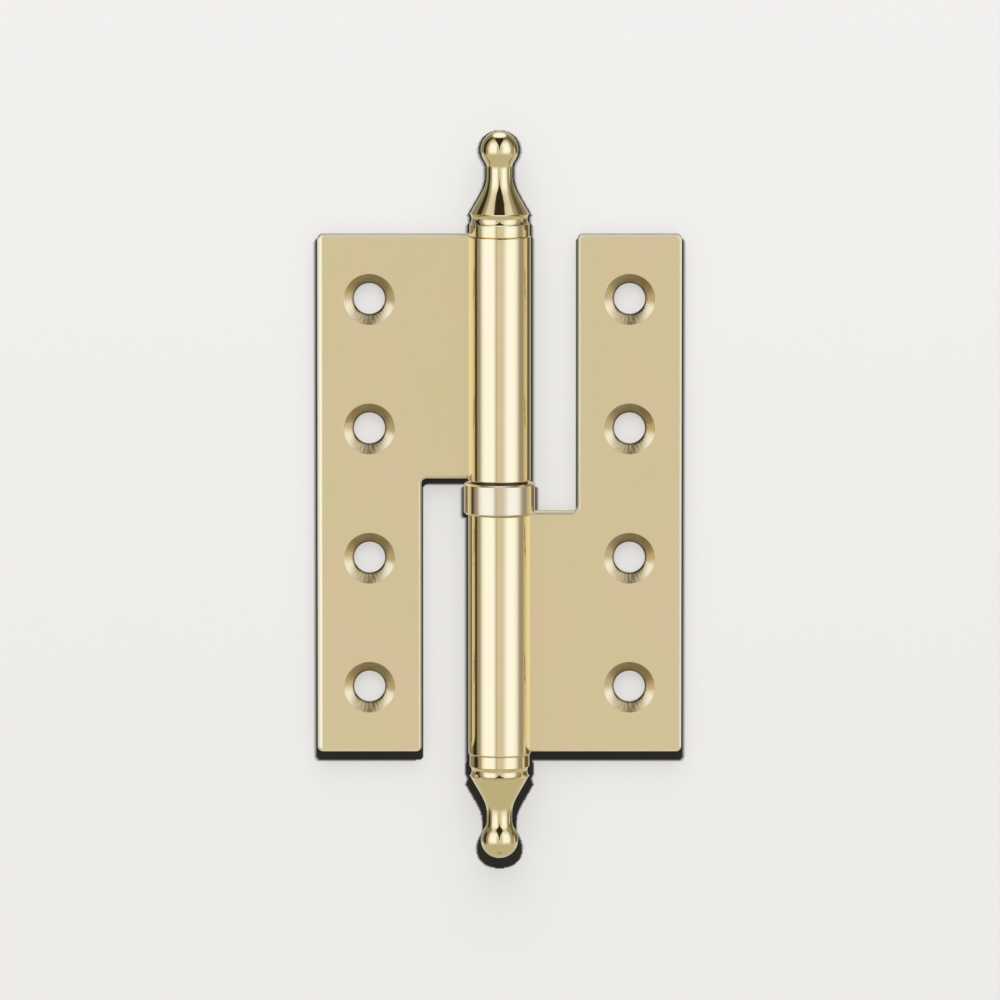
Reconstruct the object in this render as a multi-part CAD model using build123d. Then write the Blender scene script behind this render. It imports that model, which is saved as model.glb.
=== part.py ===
"""Lift-off door hinge with ball tips: two rolled leaves on one pin, a thrust ball ring, two finials.

Millimetres. +Z runs up along the pin, with the lower half of the hinge at -Z. The origin is on the
pin's axis, halfway up the leaves. The countersunk faces look to -Y, the door leaf lies to -X and
the frame leaf to +X, as the hinge lies open and flat.
"""

import math
import os

from build123d import *

# Leaves: brass plate, cut to an L and rolled round the pin along the wide half
leaf_height = 100.0
leaf_width = 35.0  # from the pin's axis to the outer edge
plate = 3.0
leg_width = 20.0  # the narrow half, which passes beside the other knuckle
corner_r = 1.0
notch_r = 1.0
front_edge_r = 0.6  # polished rounding of the outline on the countersunk side
back_edge_r = 0.25
door_knuckle_end = 2.9  # height of the upper knuckle's lower end over mid height
frame_knuckle_end = 3.5  # depth of the lower knuckle's upper end under mid height
seam_gap = 0.25  # between the rolled end of the plate and the plate itself

# Countersunk screw holes, in one row down each leg
screw_count = 4
screw_pitch = 25.0
screw_inset = 10.0  # from the leaf's outer edge
hole_r = 3.0
sink_r = 4.9
sink_angle = 90.0

# Steel pin, tight in the lower knuckle and free in the upper one
pin_r = 3.0
pin_rise = 32.0  # the top of the pin over mid height
pin_fit = 0.05
pin_round = 0.8
lead_chamfer = 0.5
pin_floor_gap = 1.0  # between the lower finial's spigot and the foot of the pin

# Thrust ring between the knuckles
ring_r = 6.85
ring_wall = 0.85
ring_gap = 0.4  # the open joint between the ring and the upper knuckle
ring_chamfer = 0.35
lip_width = 0.5  # the turned-in lip that keeps the upper race in the ring
lip_height = 0.6
lip_fit = 0.05
race_gap = 1.0
race_fit = 0.05
ball_count = 10
ball_fit = 0.03
cage_height = 0.7
cage_inset = 0.2  # of the cage's rims from the races' own
pocket_fit = 0.08

# Turned finials
collar_inset = 0.25  # how much smaller the collar is than the knuckle in radius
collar_height = 2.45
collar_break = 0.15
cove_height = 1.65
cove_depth = 0.4
rim_chamfer = 0.2
flare_height = 7.8
flare_angle = 28.7  # of the flare's foot from the axis
flare_foot_lead = 4.5
flare_neck_lead = 2.7
neck_r = 2.42
neck_bend_r = 2.5  # of the hollow curve that runs from the neck into the ball
finial_ball_r = 3.6
ball_lift = 4.7  # of the ball's centre over the foot of the neck
spigot_length = 6.0

# Sizes that follow from those above
half_height = leaf_height / 2
knuckle_r = pin_r + plate
ring_bottom = -frame_knuckle_end
ring_top = door_knuckle_end - ring_gap
ring_inner_r = ring_r - ring_wall
race_bore_r = pin_r - pin_fit + race_fit
ball_pitch_r = (race_bore_r + ring_inner_r) / 2
ball_r = (ring_inner_r - race_bore_r) / 3  # a third of a race's width, the usual share
ball_level = (door_knuckle_end - frame_knuckle_end) / 2
close = 0.01  # how near two coordinates are when they mean the same place


def turned(*outline):
    """A solid turned about the pin's axis from an outline of (radius, height) edges."""
    return revolve(Plane.XZ * make_face(Curve() + list(outline)), Axis.Z)


def turned_ring(inner_r, outer_r, bottom, top):
    """A plain ring between two radii and two heights."""
    side = Polyline((inner_r, bottom), (outer_r, bottom), (outer_r, top), (inner_r, top), close=True)
    return turned(side)


def rolled_section():
    """The wide half seen along the pin: flat plate, then the curl round the bore to its seam."""
    seam = math.degrees(math.asin((pin_r - seam_gap) / knuckle_r))
    outer = CenterArc((0, 0), knuckle_r, 90, -270 - seam)
    inner = CenterArc((0, 0), pin_r, 90, -270 - seam)
    back, front = (-leaf_width, knuckle_r), (-leaf_width, pin_r)
    outline = [
        Line(back, outer @ 0),
        outer,
        Line(outer @ 1, inner @ 1),
        inner,
        Line(inner @ 0, front),
        Line(front, back),
    ]
    return make_face(Curve() + outline)


def corner_edges(body, x, z):
    """The edge through the plate's thickness at one corner of the outline."""
    through = body.edges().filter_by(Axis.Y)
    return [e for e in through if abs(e.center().X - x) < close and abs(e.center().Z - z) < close]


def outline_edges(body, on_front):
    """One side's outline edges, the knuckle's ends included and the long seam edges left out."""
    found = []
    for edge in body.edges():
        start, end = edge @ 0, edge @ 1
        along_pin = abs(start.X - end.X) < close and abs(start.Z - end.Z) > close
        through = edge.geom_type == GeomType.LINE and abs(start.Y - end.Y) > close
        if through or (along_pin and start.X > -knuckle_r):
            continue
        round_bore = edge.geom_type == GeomType.CIRCLE and abs(edge.radius - pin_r) < close
        in_front = abs(start.Y - pin_r) < close and abs(end.Y - pin_r) < close
        if (round_bore or in_front) == on_front:
            found.append(edge)
    return found


def screw_hole():
    """The through hole and its countersink, which opens to -Y from the plate's front face."""
    depth = (sink_r - hole_r) / math.tan(math.radians(sink_angle / 2))
    down = (Align.CENTER, Align.CENTER, Align.MAX)
    return Rot(X=90) * (Cylinder(hole_r, plate, align=down) + Cone(hole_r, sink_r, depth, align=down))


def leaf(knuckle_end):
    """A leaf with its knuckle at the upper end, which reaches down to knuckle_end."""
    leg_edge = leg_width - leaf_width
    wide = Pos(0, 0, knuckle_end) * extrude(rolled_section(), half_height - knuckle_end)
    low_corner = (Align.MIN, Align.MIN, Align.MIN)
    leg = Box(leg_width, plate, leaf_height, align=low_corner)
    body = wide + Pos(-leaf_width, pin_r, -half_height) * leg
    outer = [(-leaf_width, half_height), (-leaf_width, -half_height), (leg_edge, -half_height)]
    body = fillet([e for place in outer for e in corner_edges(body, *place)], corner_r)
    body = fillet(corner_edges(body, leg_edge, knuckle_end), notch_r)
    body = fillet(outline_edges(body, on_front=True), front_edge_r)
    body = fillet(outline_edges(body, on_front=False), back_edge_r)
    first = -screw_pitch * (screw_count - 1) / 2
    for i in range(screw_count):
        body -= Pos(screw_inset - leaf_width, pin_r, first + i * screw_pitch) * screw_hole()
    return body


def hinge_pin():
    """The pin: a foot that is tight in the lower knuckle, and a slimmer stem with a rounded top."""
    foot_bottom = -half_height + spigot_length + pin_floor_gap
    stem_r = pin_r - pin_fit
    stem_top = (stem_r, pin_rise - pin_round)
    crown = (stem_r - pin_round, pin_rise)
    return turned(
        Polyline(
            (0, pin_rise),
            (0, foot_bottom),
            (pin_r - lead_chamfer, foot_bottom),
            (pin_r, foot_bottom + lead_chamfer),
            (pin_r, ring_bottom),
            (stem_r, ring_bottom),
            stem_top,
        ),
        TangentArc(stem_top, crown, tangent=(0, 1)),
        Line(crown, (0, pin_rise)),
    )


def bearing_shroud():
    """The wide ring, chamfered outside, with the lip turned in over the upper race."""
    return turned(
        Polyline(
            (ring_inner_r, ring_bottom),
            (ring_r - ring_chamfer, ring_bottom),
            (ring_r, ring_bottom + ring_chamfer),
            (ring_r, ring_top - ring_chamfer),
            (ring_r - ring_chamfer, ring_top),
            (ring_inner_r - lip_width, ring_top),
            (ring_inner_r - lip_width, ring_top - lip_height),
            (ring_inner_r, ring_top - lip_height),
            close=True,
        )
    )


def ball_groove():
    """The ring-shaped track that the balls run in, as a tool to cut a race with."""
    return Pos(0, 0, ball_level) * Torus(ball_pitch_r, ball_r + ball_fit)


def lower_race():
    """The race that is pressed into the ring and stands on the lower knuckle."""
    top = ball_level - race_gap / 2
    return turned_ring(race_bore_r, ring_inner_r, ring_bottom, top) - ball_groove()


def upper_race():
    """The race that turns under the ring's lip and carries the upper knuckle."""
    bottom = ball_level + race_gap / 2
    shoulder = ring_top - lip_height - lip_fit
    neck_radius = ring_inner_r - lip_width - race_fit
    wide = turned_ring(race_bore_r, ring_inner_r - race_fit, bottom, shoulder)
    neck = turned_ring(race_bore_r, neck_radius, bottom, door_knuckle_end)
    return wide + neck - ball_groove()


def ball_places():
    """The centres of the balls, evenly round the pitch circle."""
    return PolarLocations(ball_pitch_r, ball_count)


def ball_cage():
    """A flat ring with one pocket for each ball."""
    low, high = ball_level - cage_height / 2, ball_level + cage_height / 2
    cage = turned_ring(race_bore_r + cage_inset, ring_inner_r - cage_inset, low, high)
    for place in ball_places():
        cage -= Pos(0, 0, ball_level) * place * Cylinder(ball_r + pocket_fit, 2 * cage_height)
    return cage


def bearing_balls():
    """The balls, each a solid of its own."""
    return Compound(children=[Pos(0, 0, ball_level) * place * Sphere(ball_r) for place in ball_places()])


def finial():
    """Spigot, collar, cove, flare, neck and ball, turned in one piece, standing on height 0."""
    collar_r = knuckle_r - collar_inset
    cove_top = collar_height + cove_height
    cove_low = (collar_r - collar_break, collar_height)
    cove_mid = (collar_r - cove_depth, collar_height + cove_height / 2)
    cove_high = (collar_r - collar_break, cove_top)
    foot = (collar_r - rim_chamfer, cove_top + collar_break + rim_chamfer)
    lean = math.radians(flare_angle)
    foot_lead = (foot[0] - flare_foot_lead * math.sin(lean), foot[1] + flare_foot_lead * math.cos(lean))
    neck = (neck_r, cove_top + flare_height)
    neck_lead = (neck_r, neck[1] - flare_neck_lead)
    ball_z = neck[1] + ball_lift
    reach = finial_ball_r + neck_bend_r  # from the ball's centre to the bend's
    bend_drop = math.sqrt(reach**2 - (neck_r + neck_bend_r) ** 2)
    neck_top = (neck_r, ball_z - bend_drop)
    share = finial_ball_r / reach
    touch = ((neck_r + neck_bend_r) * share, ball_z - bend_drop * share)
    tip = (0, ball_z + finial_ball_r)
    return turned(
        Polyline(
            tip,
            (0, -spigot_length),
            (pin_r - lead_chamfer, -spigot_length),
            (pin_r, lead_chamfer - spigot_length),
            (pin_r, 0),
            (collar_r - collar_break, 0),
            (collar_r, collar_break),
            (collar_r, collar_height - collar_break),
            cove_low,
        ),
        ThreePointArc(cove_low, cove_mid, cove_high),
        Polyline(cove_high, (collar_r, cove_top + collar_break), foot),
        Bezier(foot, foot_lead, neck_lead, neck),
        Line(neck, neck_top),
        TangentArc(neck_top, touch, tangent=(0, 1)),
        ThreePointArc(touch, (finial_ball_r, ball_z), tip),
    )


tip_finial = finial()
hinge = {
    "door_leaf": leaf(door_knuckle_end),
    "frame_leaf": Rot(Y=180) * leaf(frame_knuckle_end),
    "hinge_pin": hinge_pin(),
    "upper_finial": Pos(0, 0, half_height) * tip_finial,
    "lower_finial": Pos(0, 0, -half_height) * Rot(Y=180) * tip_finial,
    "bearing_shroud": bearing_shroud(),
    "lower_race": lower_race(),
    "upper_race": upper_race(),
    "ball_cage": ball_cage(),
    "bearing_balls": bearing_balls(),
}

os.makedirs("parts", exist_ok=True)
for node, piece in hinge.items():
    export_step(piece, f"parts/{node}.step")
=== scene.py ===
"""Looks of the lift-off hinge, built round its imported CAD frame. Metres, +Z up along the pin.

The hinge lies open on a pale surface behind it, seen from the front and a little above. Lengths
inside the materials and the contact shadow are in millimetres.
"""

import math

import bpy
import numpy as np
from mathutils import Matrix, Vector

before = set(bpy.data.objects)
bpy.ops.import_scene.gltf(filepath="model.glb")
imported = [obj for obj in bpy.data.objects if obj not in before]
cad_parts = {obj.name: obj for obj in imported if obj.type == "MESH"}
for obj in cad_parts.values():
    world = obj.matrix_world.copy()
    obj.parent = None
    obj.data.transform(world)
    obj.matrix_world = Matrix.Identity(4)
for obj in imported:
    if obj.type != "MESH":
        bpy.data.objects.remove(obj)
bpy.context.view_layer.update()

# The two leaves

# Each leaf is one 3 mm brass plate, cut to an L, rolled at its wide half and polished all over.
# The flat faces keep a faint upright brushing, the knuckles are brighter, and the countersinks
# show the turned rings and the chatter that the drill left. Their colour also holds painted
# shade: darker at the top and foot, in dark stripes over the chatter, and round each hole's mouth.

millimetre = 0.001
leaf_brass_cool = (0.81, 0.70, 0.39, 1)
leaf_brass_warm = (0.86, 0.68, 0.42, 1)
sink_color = (0.75, 0.61, 0.35, 1)
# painted shade: each countersink's colour is darker at its top and a little darker at its foot
sink_top_shade_color = (0.49, 0.40, 0.23, 1)
sink_foot_shade_color = (0.70, 0.56, 0.33, 1)
# painted shade, for the mouth of each hole and the chatter's dark stripes
sink_shade_color = (0.26, 0.22, 0.15, 1)
edge_color = (0.87, 0.77, 0.54, 1)  # paler along the rounded edges
leaf_side_x = 35.0
leaf_end_z = 50.0
knuckle_reach = 6.1
knuckle_back_y = (4.5, 5.8)  # the barrel's polish ends between these
hole_row_x = 25.0  # of the screw holes from the pin's axis
hole_pitch = 25.0
sink_rim_r = 4.92
sink_floor_y = 4.95
mouth_shade_r = 3.35  # painted shade: a dark line round the mouth of the hole, out to here
edge_r = 0.6  # of the rounding along the front's edges
worn_start_x = 34.4  # the outer long edges are dubbed over from about here outwards,
worn_spread = 0.32  # the left leaf's from so much farther in and the right one's farther out

# The leaves' relief is counted in hundredths of a millimetre, and its slopes in hundredths
leaf_relief = 0.01
edge_evened = 85  # of the rounding's slope, which the polish evens out
worn_slope = 25
worn_curve = 15
sink_slope = 13  # by which a countersink's wall is flatter all round,
sink_foot_slope = 74  # and flatter still at its foot,
sink_right_slope = 14  # but not as flat at its right
ring_rate = 22  # of the turned rings, in radians a millimetre
chatter_strokes = 17  # round a whole countersink


class Value:
    """A number that varies over a surface: its socket, on which Python's own sums add nodes."""

    def __init__(self, graph, socket):
        self.graph = graph
        self.socket = socket

    def maths(self, operation, *terms):
        """The Math node's operation on the terms, which are values or plain numbers."""
        return self.graph.value("ShaderNodeMath", {"operation": operation}, dict(enumerate(terms)))

    def __add__(self, other):
        return self.maths("ADD", self, other)

    def __sub__(self, other):
        return self.maths("SUBTRACT", self, other)

    def __rsub__(self, other):
        return self.maths("SUBTRACT", other, self)

    def __mul__(self, other):
        return self.maths("MULTIPLY", self, other)

    def __truediv__(self, other):
        return self.maths("DIVIDE", self, other)

    def __abs__(self):
        return self.maths("ABSOLUTE", self)

    __radd__ = __add__
    __rmul__ = __mul__

    def sign(self):
        """-1 where it is below 0 and 1 where it is above."""
        return self.maths("SIGN", self)

    def root(self):
        """Its square root."""
        return self.maths("SQRT", self)

    def sine(self):
        """The sine of it as an angle in radians."""
        return self.maths("SINE", self)

    def at_least(self, other):
        """The greater of it and other."""
        return self.maths("MAXIMUM", self, other)

    def step(self, start, end):
        """0 before start and 1 after end, with a smooth rise between them."""
        settings = {"interpolation_type": "SMOOTHSTEP"}
        inputs = {"Value": self, "From Min": start, "From Max": end}
        return self.graph.value("ShaderNodeMapRange", settings, inputs)

    def band(self, low, high, soft):
        """1 between low and high, and 0 outside them, with both edges soft."""
        rise = self.step(low - soft / 2, low + soft / 2)
        return rise * (1 - self.step(high - soft / 2, high + soft / 2))


class Graph:
    """An emptied node tree, with one method that adds a node of any type."""

    def __init__(self, owner):
        if isinstance(owner, bpy.types.NodeTree):
            self.tree = owner
        else:
            owner.use_nodes = True
            self.tree = owner.node_tree
        self.tree.nodes.clear()

    def feed(self, socket, value):
        """Links a value or another node's socket to the socket, or sets it to a plain one."""
        if isinstance(value, Value):
            value = value.socket
        if isinstance(value, bpy.types.NodeSocket):
            self.tree.links.new(value, socket)
        else:
            socket.default_value = value

    def node(self, kind, settings=None, inputs=None):
        """A node of that type. Its settings come first, and then its sockets' values or links."""
        node = self.tree.nodes.new(kind)
        for name, setting in (settings or {}).items():
            setattr(node, name, setting)
        for name, value in (inputs or {}).items():
            self.feed(node.inputs[name], value)
        return node

    def value(self, kind, settings=None, inputs=None, output=0):
        """The same, as the number that the node gives."""
        return Value(self, self.node(kind, settings, inputs).outputs[output])

    def split(self, point):
        """A point's x, y and z in millimetres."""
        split = self.node("ShaderNodeSeparateXYZ", inputs={"Vector": point})
        return [Value(self, split.outputs[i]) / millimetre for i in range(3)]

    def place(self):
        """The shaded point's x, y and z on the hinge, in millimetres."""
        return self.split(self.node("ShaderNodeTexCoord").outputs["Object"])

    def facing(self):
        """How squarely the surface faces the front or the back of the hinge, from 0 to 1."""
        normal = self.node("ShaderNodeTexCoord").outputs["Normal"]
        return abs(Value(self, self.node("ShaderNodeSeparateXYZ", inputs={0: normal}).outputs[1]))

    def from_screw(self, x, z):
        """The point's offset from the nearest screw's centre, across and up."""
        up = z.maths("WRAP", z, hole_pitch, 0.0) - hole_pitch / 2
        return x - x.sign() * hole_row_x, up

    def grain(self, x, y, z, detail=2.0, rough=0.5):
        """Cloudy noise from -1 to 1 at the point (x, y, z), with clouds about one unit across."""
        point = self.node("ShaderNodeCombineXYZ", inputs={0: x, 1: y, 2: z}).outputs[0]
        inputs = {"Vector": point, "Scale": 1.0, "Detail": detail, "Roughness": rough}
        noise = self.value("ShaderNodeTexNoise", {"noise_dimensions": "3D"}, inputs)
        return noise * 2 - 1

    def mix(self, share, first, second):
        """The colour that many parts of second over first."""
        node = self.node("ShaderNodeMix", {"data_type": "RGBA"})
        sockets = {socket.identifier: socket for socket in node.inputs}
        self.feed(sockets["Factor_Float"], share)
        self.feed(sockets["A_Color"], first)
        self.feed(sockets["B_Color"], second)
        return next(socket for socket in node.outputs if socket.identifier == "Result_Color")

    def metal(self, color, roughness, height, depth):
        """A bare metal surface with relief, on which a height of 1 stands for depth millimetres."""
        relief = {"Strength": 1.0, "Distance": depth * millimetre, "Height": height}
        normal = self.node("ShaderNodeBump", inputs=relief).outputs["Normal"]
        inputs = {"Base Color": color, "Roughness": roughness, "Metallic": 1.0, "Normal": normal}
        shader = self.node("ShaderNodeBsdfPrincipled", inputs=inputs).outputs[0]
        self.node("ShaderNodeOutputMaterial", inputs={"Surface": shader})


leaf_material = bpy.data.materials.new("polished_leaf_brass")
g = Graph(leaf_material)
x, y, z = g.place()
hole_x, hole_z = g.from_screw(x, z)
hole_r = (hole_x * hole_x + hole_z * hole_z).root()
hole_turn = hole_z.maths("ARCTAN2", hole_z, hole_x)
upward = hole_z / hole_r
rightward = hole_x / hole_r

# Where each part of the leaf is
before_floor = 1 - y.step(sink_floor_y, sink_floor_y + 0.05)
in_sink = (1 - hole_r.step(sink_rim_r - 0.04, sink_rim_r)) * before_floor
# Painted shade: a dark line round the mouth of each hole, where the bore is in shadow
mouth_shade = in_sink * (1 - hole_r.step(mouth_shade_r - 0.1, mouth_shade_r))
on_knuckle = (1 - abs(x).step(knuckle_reach - 0.2, knuckle_reach)) * (1 - y.step(*knuckle_back_y))
facing = g.facing()
turned = (1 - facing.step(0.93, 0.998)) * facing.step(0.02, 0.2)
on_edge = (1 - on_knuckle) * (1 - in_sink) * turned
on_flat = (1 - on_knuckle) * (1 - in_sink) * (1 - on_edge)

# How far the rounding and the wear take each edge back, and the marks of drill and brush
across = (abs(x) - (leaf_side_x - edge_r)).at_least(0.0)
along = (abs(z) - (leaf_end_z - edge_r)).at_least(0.0)
rounding = edge_r * 2 - (edge_r**2 - across * across).root() - (edge_r**2 - along * along).root()
worn = (abs(x) - worn_start_x - x.sign() * worn_spread).at_least(0.0)
brushing = g.grain(x * 9, y * 3, z * 0.12, detail=4, rough=0.7)
patches = g.grain(x * 0.08, y * 0.2, z * 0.05)
rings = (hole_r * ring_rate).sine()
wander = g.grain(x * 0.7, y, z * 0.7)
chattered = (rightward * -0.5 - upward * 0.9).step(0.85, 1.35)
chatter = (hole_turn * chatter_strokes + hole_r * 4 + wander * 2).sine() * chattered
flatter = (upward * -1).step(-0.3, 1.0) * sink_foot_slope + sink_slope
flatter = flatter - rightward.at_least(0.0) * sink_right_slope

tone = g.mix(patches.step(-0.6, 0.6), leaf_brass_cool, leaf_brass_warm)
# Painted shade: the countersink's colour darkens towards its top and a little towards its foot
sink_tone_and_shade = g.mix(upward.step(0.2, 0.9), sink_color, sink_top_shade_color)
sink_tone_and_shade = g.mix(upward.step(-0.3, -0.9), sink_tone_and_shade, sink_foot_shade_color)
# The chatter is real and in the relief; its dark stripes in the colour are painted shade
sink_tone_and_shade = g.mix(chatter.step(0.0, 1.0) * 0.6, sink_tone_and_shade, sink_shade_color)
# The dark line round each hole's mouth is painted shade
color = g.mix(mouth_shade, g.mix(in_sink, tone, sink_tone_and_shade), sink_shade_color)
color = g.mix(on_edge, color, edge_color)
roughness = 0.09 + on_flat * (0.13 + brushing * 0.03) + in_sink * 0.10 + on_edge * 0.38
height = brushing * (on_flat * 0.12 + on_knuckle * 0.02)
height = height + rounding * (1 - on_knuckle) * edge_evened - worn * (worn * worn_curve + worn_slope)
height = height + in_sink * (rings * 0.5 + chatter * 0.7 - (hole_r - sink_rim_r) * flatter)
g.metal(color, roughness, height, depth=leaf_relief)
for name in ("door_leaf", "frame_leaf"):
    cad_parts[name].material_slots[0].material = leaf_material

# The pin

# A plain steel pin, ground to size and oiled, pressed into the lower knuckle. It only shows
# when the door leaf is lifted off.

pin_color = (0.63, 0.60, 0.54, 1)
pin_stain_color = (0.52, 0.49, 0.42, 1)

pin_material = bpy.data.materials.new("ground_pin_steel")
g = Graph(pin_material)
x, y, z = g.place()
grinding = g.grain(x * 0.3, y * 0.3, z * 14, detail=4, rough=0.7)
stain = g.grain(x * 0.2, y * 0.2, z * 0.15).step(-0.2, 0.7)
color = g.mix(stain * 0.5, pin_color, pin_stain_color)
g.metal(color, 0.24 + grinding * 0.05, grinding * 0.5, depth=0.002)
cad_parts["hinge_pin"].material_slots[0].material = pin_material

# The thrust ring

# A turned brass ring, a little paler than the leaves, pressed round the lower race and turned
# in over the upper one. Ten balls run in it between two blackened races, in a stamped cage.

ring_color = (0.78, 0.67, 0.45, 1)
ring_warm_color = (0.79, 0.66, 0.43, 1)
race_color = (0.060, 0.046, 0.026, 1)
race_worn_color = (0.085, 0.066, 0.038, 1)
cage_color = (0.70, 0.52, 0.26, 1)
cage_bright_color = (0.75, 0.59, 0.31, 1)
ball_color = (0.73, 0.73, 0.75, 1)
ball_bright_color = (0.78, 0.78, 0.80, 1)

ring_material = bpy.data.materials.new("turned_ring_brass")
g = Graph(ring_material)
x, y, z = g.place()
turning = g.grain(x * 0.2, y * 0.2, z * 16, detail=3, rough=0.6)
patches = g.grain(x * 0.3, y * 0.3, z * 0.3)
color = g.mix(patches.step(-0.6, 0.6), ring_color, ring_warm_color)
g.metal(color, 0.14 + turning * 0.02, turning * 0.5, depth=0.001)
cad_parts["bearing_shroud"].material_slots[0].material = ring_material

race_material = bpy.data.materials.new("blackened_race_steel")
g = Graph(race_material)
x, y, z = g.place()
radius = (x * x + y * y).root()
grinding = g.grain(radius * 12, z * 12, x * 0.2, detail=3, rough=0.6)
color = g.mix(grinding.step(-0.5, 0.5), race_color, race_worn_color)
g.metal(color, 0.30 + grinding * 0.05, grinding * 0.5, depth=0.002)
for name in ("lower_race", "upper_race"):
    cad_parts[name].material_slots[0].material = race_material

cage_material = bpy.data.materials.new("stamped_cage_brass")
g = Graph(cage_material)
x, y, z = g.place()
tumbling = g.grain(x * 5, y * 5, z * 5, detail=4, rough=0.6)
color = g.mix(tumbling.step(-0.6, 0.6), cage_color, cage_bright_color)
g.metal(color, 0.34 + tumbling * 0.06, tumbling * 0.5, depth=0.006)
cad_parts["ball_cage"].material_slots[0].material = cage_material

ball_material = bpy.data.materials.new("polished_ball_steel")
g = Graph(ball_material)
x, y, z = g.place()
haze = g.grain(x * 3, y * 3, z * 3)
color = g.mix(haze.step(-0.6, 0.6), ball_color, ball_bright_color)
g.metal(color, 0.07 + haze * 0.015, haze, depth=0.0003)
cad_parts["bearing_balls"].material_slots[0].material = ball_material

# The two finials

# Turned from brass bar in one piece, collar, cove, flare and ball, and polished on the lathe,
# which leaves rings too fine to see except where the light catches them.

finial_warm_color = (0.82, 0.67, 0.37, 1)

finial_material = bpy.data.materials.new("turned_finial_brass")
g = Graph(finial_material)
x, y, z = g.place()
turning = g.grain(x * 0.2, y * 0.2, z * 12, detail=3, rough=0.6)
patches = g.grain(x * 0.2, y * 0.2, z * 0.12)
color = g.mix(patches.step(-0.6, 0.6), leaf_brass_cool, finial_warm_color)
g.metal(color, 0.08 + turning * 0.02, turning * 0.5, depth=0.001)
for name in ("upper_finial", "lower_finial"):
    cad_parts[name].material_slots[0].material = finial_material

# The surface behind

# The pale sheet that the hinge lies on, a tenth of a millimetre behind the thrust ring. It is a
# flat grid, with fine lines across and up behind the hinge, to carry its shadow, and one line
# at each rim. It fades out towards its rim, shows from the front only, and isn't mirrored.

sheet_y = 0.00695
sheet_half = 0.4
sheet_low_color = (0.843, 0.826, 0.796, 1)
sheet_high_color = (0.886, 0.870, 0.855, 1)
# the colour of the painted contact shadow
painted_contact_shadow_color = (0.031, 0.029, 0.024, 1)
fine_step = 0.0002
fine_x = (-0.040, 0.040)
fine_z = (-0.076, 0.108)
tone_z = (-97, 125)  # the sheet's colour goes from low to high between these
fade_reach = (160, 380)  # from the middle

fine_lines = [np.arange(*span, fine_step) for span in (fine_x, fine_z)]
lines_x, lines_z = [np.concatenate(([-sheet_half], fine, [sheet_half])) for fine in fine_lines]
across, up = np.meshgrid(lines_x, lines_z)
points = np.stack((across, np.full_like(across, sheet_y), up), axis=-1).reshape(-1, 3)
columns = len(lines_x)
row_starts = np.arange(len(lines_z) - 1)[:, None] * columns
first_corners = (row_starts + np.arange(columns - 1)).reshape(-1, 1)
sheet_mesh = bpy.data.meshes.new("pale_sheet")
sheet_mesh.from_pydata(points, [], first_corners + np.array([0, 1, columns + 1, columns]))
pale_sheet = bpy.data.objects.new("pale_sheet", sheet_mesh)
bpy.context.scene.collection.objects.link(pale_sheet)
pale_sheet.visible_glossy = False

sheet_material = bpy.data.materials.new("pale_sheet")
g = Graph(sheet_material)
x, y, z = g.place()
contact = g.value("ShaderNodeAttribute", {"attribute_name": "contact_shadow"}, output="Fac")
color = g.mix(z.step(*tone_z), sheet_low_color, sheet_high_color)
# The contact shadow is painted into the sheet's colour here
color = g.mix(contact, color, painted_contact_shadow_color)
paper = g.node("ShaderNodeBsdfDiffuse", inputs={"Color": color}).outputs[0]
clear = g.node("ShaderNodeBsdfTransparent").outputs[0]
reach = (x * x + z * z).root()
behind = g.value("ShaderNodeNewGeometry", output="Backfacing")
fade = reach.step(*fade_reach).at_least(behind)
shader = g.node("ShaderNodeMixShader", inputs={0: fade, 1: paper, 2: clear}).outputs[0]
g.node("ShaderNodeOutputMaterial", inputs={"Surface": shader})
sheet_mesh.materials.append(sheet_material)

# The contact shadow

# A hinge that lies on a sheet has a narrow black shadow all round it, wider towards its foot.
# It is a painted shadow, stored on the sheet and mixed into its colour. Each point of the sheet
# is in it where a line to the front, started a little higher and to either side, meets a piece,
# so that it follows the pieces as they move.

# Each ring of the shadow, from dark to pale: how far it is shifted to either side and how far
# it is lowered, and its share of dark. The lower finial has wider rings besides.
shadow_rings = ((0.33, 1.48, 1.0), (0.5, 1.58, 0.78), (0.68, 1.68, 0.47), (0.85, 1.78, 0.1))
finial_rings = (
    (0.6, 1.3, 1.0),
    (0.8, 1.9, 1.0),
    (0.0, 2.15, 1.0),
    (0.8, 1.4, 0.7),
    (0.95, 2.0, 0.7),
    (1.05, 1.7, 0.25),
)
shadow_stretch = 1.0135  # it is this much longer than the hinge
wide_shift = 0.4  # a line moved farther than this leaves out what would narrow a notch
notch_side_x = 6.2
hole_clearance = 5.0  # round each screw's centre the sheet stays pale, as light comes through
shadow_soft = 0.02  # at the notch's side and round the holes
line_start_y = 10.0
line_length = 60.0

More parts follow.
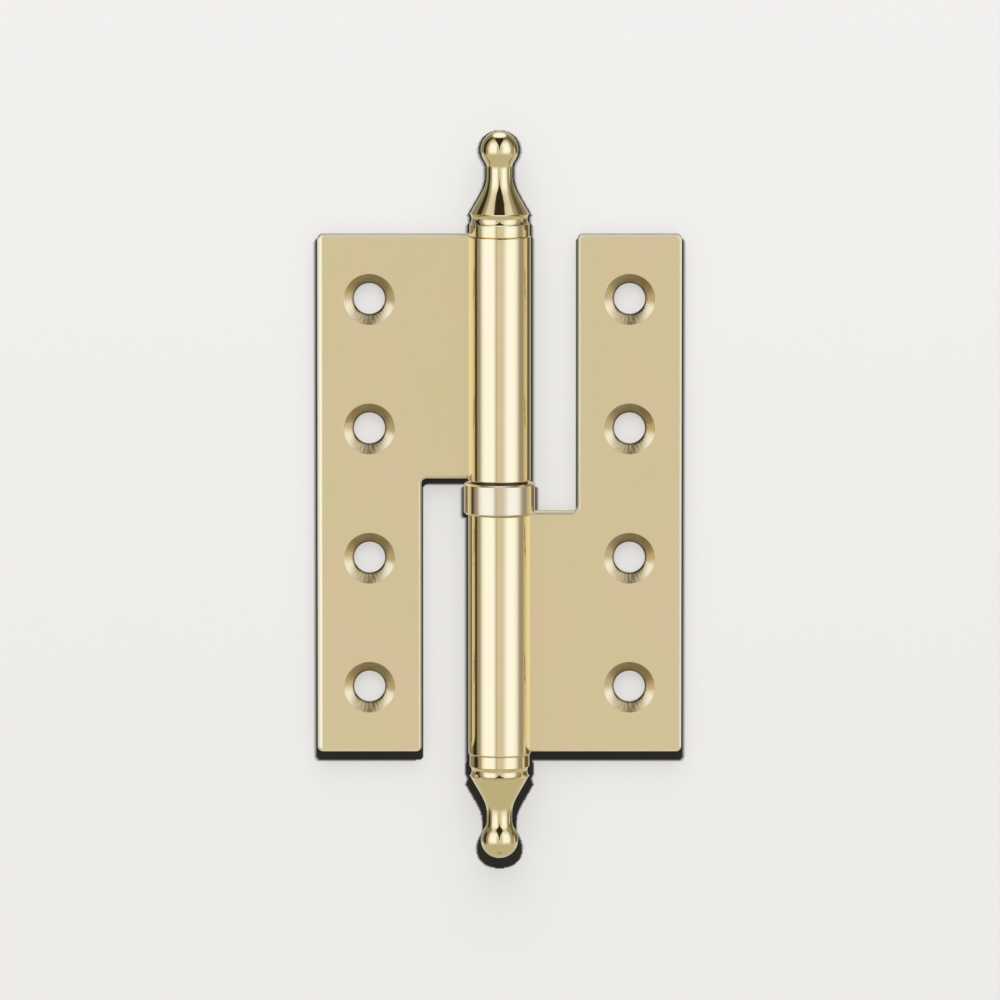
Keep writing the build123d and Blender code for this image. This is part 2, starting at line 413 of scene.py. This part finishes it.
shadow_tree = bpy.data.node_groups.new("contact_shadow", "GeometryNodeTree")
for in_out in ("INPUT", "OUTPUT"):
    shadow_tree.interface.new_socket("Geometry", in_out=in_out, socket_type="NodeSocketGeometry")
g = Graph(shadow_tree)
x, y, z = g.split(g.node("GeometryNodeInputPosition").outputs[0])
contact = 0.0
for shadow, names in ((shadow_rings, list(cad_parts)), (finial_rings, ["lower_finial"])):
    pieces = g.node("GeometryNodeJoinGeometry")
    for name in names:
        inputs = {"Object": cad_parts[name]}
        info = g.node("GeometryNodeObjectInfo", {"transform_space": "RELATIVE"}, inputs)
        shadow_tree.links.new(info.outputs["Geometry"], pieces.inputs[0])
    for shift, lower, share in shadow:
        for way in (-1, 1):
            start_x = x - shift * way
            start_z = (z + lower) / shadow_stretch
            place = {0: start_x * millimetre, 1: line_start_y * millimetre, 2: start_z * millimetre}
            inputs = {
                "Target Geometry": pieces.outputs[0],
                "Source Position": g.node("ShaderNodeCombineXYZ", inputs=place).outputs[0],
                "Ray Direction": (0, -1, 0),
                "Ray Length": line_length * millimetre,
            }
            met = g.value("GeometryNodeRaycast", inputs=inputs, output="Is Hit") * share
            hole_x, hole_z = g.from_screw(start_x, start_z)
            hole_r = (hole_x * hole_x + hole_z * hole_z).root()
            met = met * hole_r.step(hole_clearance - shadow_soft, hole_clearance + shadow_soft)
            if shift > wide_shift:
                outward = start_x * way
                met = met * outward.step(-notch_side_x - shadow_soft, -notch_side_x + shadow_soft)
            contact = met.at_least(contact)
inputs = {
    "Geometry": g.node("NodeGroupInput").outputs[0],
    "Name": "contact_shadow",
    "Value": contact,
}
stored = g.node("GeometryNodeStoreNamedAttribute", {"data_type": "FLOAT", "domain": "POINT"}, inputs)
g.node("NodeGroupOutput", inputs={0: stored.outputs[0]})
pale_sheet.modifiers.new("contact_shadow", "NODES").node_group = shadow_tree

# The studio

# The brass mirrors a white tent: an even front, a tall bright panel to each side, dark gaps
# beyond the panels and over the camera, a lamp overhead and a dimmer rear. Only mirrored rays
# see it: the rest of the light is a soft fill and three lamps.

pale = (0.863, 0.847, 0.823, 1)
even_light = (0.78, 0.78, 0.78, 1)
floor_light = (0.62, 0.61, 0.54, 1)
under_light = (0.48, 0.45, 0.36, 1)
panel_light = (1.20, 1.34, 1.75, 1)
dim = (0.40, 0.38, 0.33, 1)
rear_light = (0.30, 0.30, 0.28, 1)
rim_light = (0.60, 0.57, 0.47, 1)
dimmer = (0.25, 0.24, 0.19, 1)
dark = (0.040, 0.032, 0.015, 1)
brown = (0.15, 0.135, 0.085, 1)
seam_light = (0.56, 0.54, 0.49, 1)
soft_fill = (0.045, 0.045, 0.045, 1)
camera_rise = math.radians(6.3)
# Each lamp's name and strength, how wide it looks, and how far over the camera it stands, in
# degrees
lamps = (("key", 1.95, 3, 0), ("soft_key", 0.5, 120, 0), ("top", 0.95, 56, 44))

world = bpy.data.worlds.new("studio")
bpy.context.scene.world = world
g = Graph(world)
direction = g.node("ShaderNodeTexCoord").outputs["Generated"]
split = g.node("ShaderNodeSeparateXYZ", inputs={"Vector": direction})
dx, dy, dz = (Value(g, split.outputs[i]) for i in range(3))
turn = dx.maths("ARCTAN2", dx, dy * -1) * math.degrees(1)  # to the right of the front
rise = dx.maths("ARCSINE", dz) * math.degrees(1)
side = abs(turn)

# Where each part of the tent stands, in degrees of turn and rise
off_floor = rise.step(-30, -10)
level = rise.step(-15, -8)
high = rise.step(4, 18)
upright = rise.step(-28, -7) * (1 - rise.step(24, 62))
flanks = side.band(72, 116, 10) * off_floor
rear = side.step(112, 122) * level
left_gap = turn.band(-117, -91, 12) * off_floor
right_gap = turn.band(115, 150, 6) * level * (1 - high)
high_right_gap = turn.band(95, 124, 8) * high
far_rear = side.step(146, 156) * level
right_slot = turn.band(101, 113, 3) * rise.band(-13, 1, 4)
left_panel = turn.step(-82, -52) * (1 - turn.step(-24, -12)) * upright
right_panel = turn.step(9, 33) * (1 - turn.step(50, 86)) * upright
seam = turn.band(-12.5, -9, 2) * rise.band(-30, 12, 4)
ceiling = rise.step(50, 64)
wedge_half = rise * rise * rise * 0.00019 + 1.5  # the gap over the camera widens as it rises
over_camera = (1 - (side - wedge_half).step(-2, 4)) * rise.band(4, 78, 6)
overhead = (dz * 0.95 + dy * 0.31).step(0.885, 0.925)  # a round lamp, a little to the rear

light = g.mix(rise.step(-34, -12), floor_light, even_light)
light = g.mix(rise.step(-86, -70), under_light, light)
for part, part_light in (
    (flanks, dim),
    (rear, rear_light),
    (left_gap, dark),
    (right_gap, brown),
    (high_right_gap, brown),
    (far_rear, rim_light),
    (right_slot, even_light),
    (left_panel, panel_light),
    (right_panel, panel_light),
    (seam, seam_light),
    (ceiling, dimmer),
    (over_camera, dark),
    (overhead, panel_light),
):
    light = g.mix(part, light, part_light)
path = g.node("ShaderNodeLightPath")
straight = Value(g, path.outputs["Is Camera Ray"])
scattered = Value(g, path.outputs["Diffuse Depth"])
mirrored = Value(g, path.outputs["Is Glossy Ray"]) - scattered
light = g.mix(mirrored, soft_fill, light)
light = g.mix(straight, light, pale)
shader = g.node("ShaderNodeBackground", inputs={"Color": light}).outputs[0]
g.node("ShaderNodeOutputWorld", inputs={"Surface": shader})

for name, strength, spread, lift in lamps:
    lamp = bpy.data.lights.new(name, "SUN")
    lamp.energy = strength
    lamp.angle = math.radians(spread)
    lamp_object = bpy.data.objects.new(name, lamp)
    lamp_object.rotation_euler = (math.radians(90 - lift) - camera_rise, 0, 0)
    lamp_object.visible_glossy = False
    bpy.context.scene.collection.objects.link(lamp_object)

# The camera

# A long lens from the front, a little above the middle of the hinge.

camera_distance = 2.5
aim = Vector((0.0001, 0, -0.0009))
frame_width = 0.192

camera = bpy.data.cameras.new("camera")
camera.sensor_width = 36
camera.lens = camera.sensor_width * camera_distance / frame_width
camera.clip_start = 0.1
camera.clip_end = 20
camera_object = bpy.data.objects.new("camera", camera)
away = Vector((0, -math.cos(camera_rise), math.sin(camera_rise)))
camera_object.location = aim + away * camera_distance
camera_object.rotation_euler = away.to_track_quat("Z", "Y").to_euler()
bpy.context.scene.collection.objects.link(camera_object)
bpy.context.scene.camera = camera_object
bpy.context.scene.view_settings.view_transform = "Standard"
